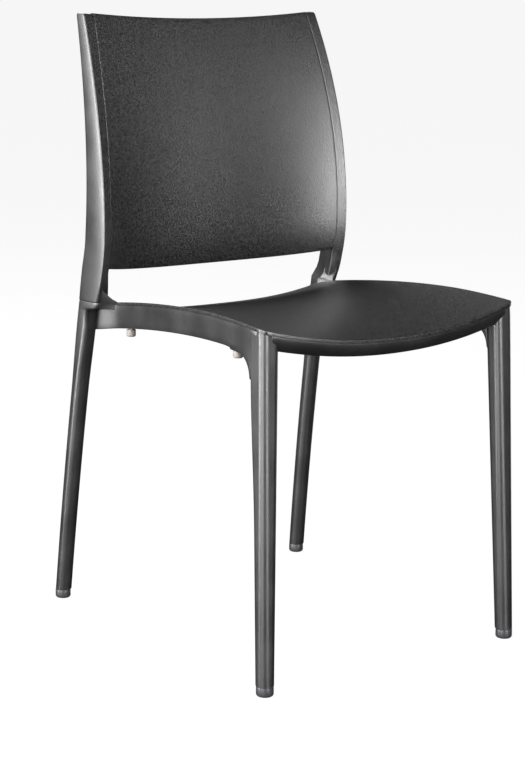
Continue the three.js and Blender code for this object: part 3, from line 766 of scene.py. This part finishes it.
# level by level from the web's underside up to its ridge: how far each lies in and back
WEB_LEVELS = (KNEE_Z - SHOULDER_HEIGHT + 1.2, KNEE_Z - 3, KNEE_Z)
WEB_SET_IN, WEB_SET_BACK = (1.5, 1.5, 0.6, 0), (9, 8, 6, 0)


def gusset(name):
    """Web between the seat's rear corner and the upright. Its outer face leaves the rail's face
    and turns out to the upright, a fine straight ridge runs up its top, and behind the ridge
    it falls in a hollow saddle to the seat."""
    def place(across, along, high):
        step = round(high * 3)
        front_x = mix(WEB_FOOT[0], WEB_TIP[0], across ** WEB_TURN_X)
        front_y = mix(WEB_FOOT[1], WEB_TIP[1], across ** WEB_TURN_Y)
        up_ridge = share_of((front_x - SEAT_REAR_HALF - RIDGE_START) / RIDGE_RUN)
        ridge = RIDGE_FOOT_Z + RIDGE_RISE * up_ridge
        hollow = HOLLOW_FOOT_Z + HOLLOW_RISE * (1 - math.sqrt(1 - (across * HOLLOW_REACH) ** 2))
        x = mix(front_x, mix(WEB_REAR_FOOT[0], WEB_REAR_TIP[0], across), along) - WEB_SET_IN[step]
        y = mix(front_y, mix(WEB_REAR_FOOT[1], WEB_REAR_TIP[1], across), along)
        y += WEB_SET_BACK[step] * across * (1 - along)
        top = mix(ridge, hollow, smooth(along * 1.5))
        return x, y, (WEB_LEVELS + (top,))[step]
    return block(name, (16, 10, 3), place)


# ---------------------------------------------------------------- glides and buffers


def turned(name, centre_x, centre_y, profile, sides=40):
    """A round piece, drawn out from a disc through the radii and levels of its profile."""
    rings = []
    for radius, z in profile:
        rings.append([(centre_x + radius * math.cos(math.tau * i / sides),
                       centre_y + radius * math.sin(math.tau * i / sides), z) for i in range(sides)])
    return bar(name, rings)


def glide(name, foot, side):
    """Shoe that plugs into the leg: a hollow sole ring, a rounded edge, and a fine shadow line
    below the leg."""
    r = side / 2
    profile = [(r * 0.45, 1.2), (r * 0.55, 0.3), (r - 3.2, 0), (r - 1.7, 0.35), (r - 0.6, 1.3),
               (r - 0.1, 2.6), (r, 4.0), (r, GLIDE_HEIGHT - 1.4), (r - 0.25, GLIDE_HEIGHT - 0.7),
               (r - 1.0, GLIDE_HEIGHT - 0.3), (r - 1.1, GLIDE_HEIGHT + 0.6), (6, GLIDE_HEIGHT + 0.8),
               (6, GLIDE_HEIGHT + 20), (4.5, GLIDE_HEIGHT + 22)]
    return turned(name, foot.x, foot.y, profile)


BUFFER_HEAD = 9


def buffer(name, node_name):
    """Soft button under the rail: straight sides, a rounded lower edge, a slight dimple below
    and a stem that goes up into the rail."""
    low, high = extent(node_name)
    x, y = (low.x + high.x) / 2, (low.y + high.y) / 2
    r, bottom, head = (high.x - low.x) / 2, low.z, low.z + BUFFER_HEAD
    profile = [(r * 0.3, bottom + 0.7), (r * 0.45, bottom + 0.25), (r * 0.6, bottom),
               (r - 1.6, bottom + 0.1), (r - 0.7, bottom + 0.5), (r - 0.15, bottom + 1.4),
               (r, bottom + 2.4), (r, head - 0.8), (r - 0.2, head + 0.4), (3, head + 0.6),
               (3, high.z)]
    return turned(name, x, y, profile, 32)


# ---------------------------------------------------------------- the chair

seat_shell()
back_panel()
front_apron()
rear_rail()
pair("side_rail_satin", side_rail, SATIN, "body_plastic", ["side_rail"], edge=1.8, edge_angle=50)
pair("front_leg_satin", front_leg, SATIN, "body_plastic", ["front_leg"], smooth=50)
pair("rear_leg_satin", rear_leg, SATIN, "body_plastic", ["rear_leg"], smooth=50)
pair("upright_satin", upright, SATIN, "body_plastic", ["upright"], smooth=50)
for side in ("right_", "left_"):
    grain_front_face(bpy.data.objects[side + "upright_satin"])
pair("gusset_satin", gusset, SATIN, "body_plastic", ["gusset"], edge=1.0, edge_angle=50)
pair("front_glide_shoe", lambda name: glide(name, FRONT_FOOT, FRONT_FOOT_SIDE), POLYAMIDE,
     "glide_plastic", ["front_glide"])
pair("rear_glide_shoe", lambda name: glide(name, REAR_FOOT, REAR_FOOT_SIDE), POLYAMIDE,
     "glide_plastic", ["rear_glide"])
pair("front_buffer_button", lambda name: buffer(name, "right_front_buffer"), ELASTOMER,
     "buffer_plastic", ["front_buffer"])
pair("rear_buffer_button", lambda name: buffer(name, "right_rear_buffer"), ELASTOMER,
     "buffer_plastic", ["rear_buffer"])

# ---------------------------------------------------------------- floor, light and camera


def floor():
    """A wide sheet of studio paper. It is lit apart from the chair and throws no light up on it."""
    bpy.ops.object.select_all(action="DESELECT")
    bpy.ops.mesh.primitive_plane_add(size=60, location=(0, 0, -0.0005))
    paper = bpy.context.object
    paper.name = "studio_floor"
    paper.data.materials.append(studio_floor())
    paper.visible_diffuse = False
    paper.visible_glossy = False


def round_the_chair(azimuth, elevation, distance):
    """A place seen from the middle of the chair: azimuth 0 is in front and -90 on the -X side."""
    a, e = math.radians(azimuth), math.radians(elevation)
    way = Vector((math.sin(a) * math.cos(e), -math.cos(a) * math.cos(e), math.sin(e)))
    return Vector((0, 0, 0.5)) + way * distance


def soft_light(name, watts, width, height, place, aim=(0, 0, 0.5)):
    """A soft box at place, turned to aim. Only what it lights is seen, not the box."""
    data = bpy.data.lights.new(name, "AREA")
    data.energy, data.shape, data.size, data.size_y = watts, "RECTANGLE", width, height
    lamp = bpy.data.objects.new(name, data)
    bpy.context.collection.objects.link(lamp)
    lamp.visible_camera = False
    lamp.location = place
    lamp.rotation_euler = (Vector(aim) - Vector(place)).to_track_quat("-Z", "Y").to_euler()


def sky(strength, seen):
    """Even, low surroundings, that the camera sees as pale as the paper."""
    world = bpy.data.worlds.new("studio")
    bpy.context.scene.world = world
    world.use_nodes = True
    background = world.node_tree.nodes["Background"]
    background.inputs["Color"].default_value = linear("#ffffff")
    rays = node(world.node_tree, "ShaderNodeLightPath")
    level = node(world.node_tree, "ShaderNodeMapRange", None, {"To Min": strength, "To Max": seen},
                 {"Value": (rays, "Is Camera Ray")})
    world.node_tree.links.new(level.outputs["Result"], background.inputs["Strength"])


AZIMUTH, ELEVATION, ROLL = -36.4102, 12.3157, 1.0409
DISTANCE, TARGET = 2757.35, Vector((-37.575, 0, 323.915))
LENS = 93.71


def camera():
    """Long lens from the chair's left front, a little above the seat."""
    a, e, roll = (math.radians(v) for v in (AZIMUTH, ELEVATION, ROLL))
    back = Vector((math.sin(a) * math.cos(e), -math.cos(a) * math.cos(e), math.sin(e)))
    right = (-back).cross(Vector((0, 0, 1))).normalized()
    up = right.cross(-back)
    axis_x = right * math.cos(roll) + up * math.sin(roll)
    axis_y = up * math.cos(roll) - right * math.sin(roll)
    data = bpy.data.cameras.new("camera")
    data.sensor_width, data.lens = 36, LENS
    view = bpy.data.objects.new("camera", data)
    bpy.context.collection.objects.link(view)
    turn = Matrix((axis_x, axis_y, back)).transposed().to_4x4()
    view.matrix_world = Matrix.Translation((TARGET + back * DISTANCE) * MM) @ turn
    bpy.context.scene.camera = view


SURROUND_LEVEL = 0.015

floor()
sky(SURROUND_LEVEL, PAPER_LEVEL)
soft_light("left_soft_box", 175, 2.0, 3.0, round_the_chair(-68, 16, 2.6))
soft_light("front_soft_box", 190, 1.3, 3.2, round_the_chair(3, 14, 3.4))
soft_light("rear_left_box", 185, 0.8, 2.8, round_the_chair(-110, 10, 2.8))
soft_light("back_soft_box", 85, 2.2, 1.6, round_the_chair(186, 50, 2.8))
soft_light("far_side_soft_box", 28, 1.2, 2.4, round_the_chair(98, 4, 3.2))
camera()
bpy.context.scene.view_settings.view_transform = "Standard"
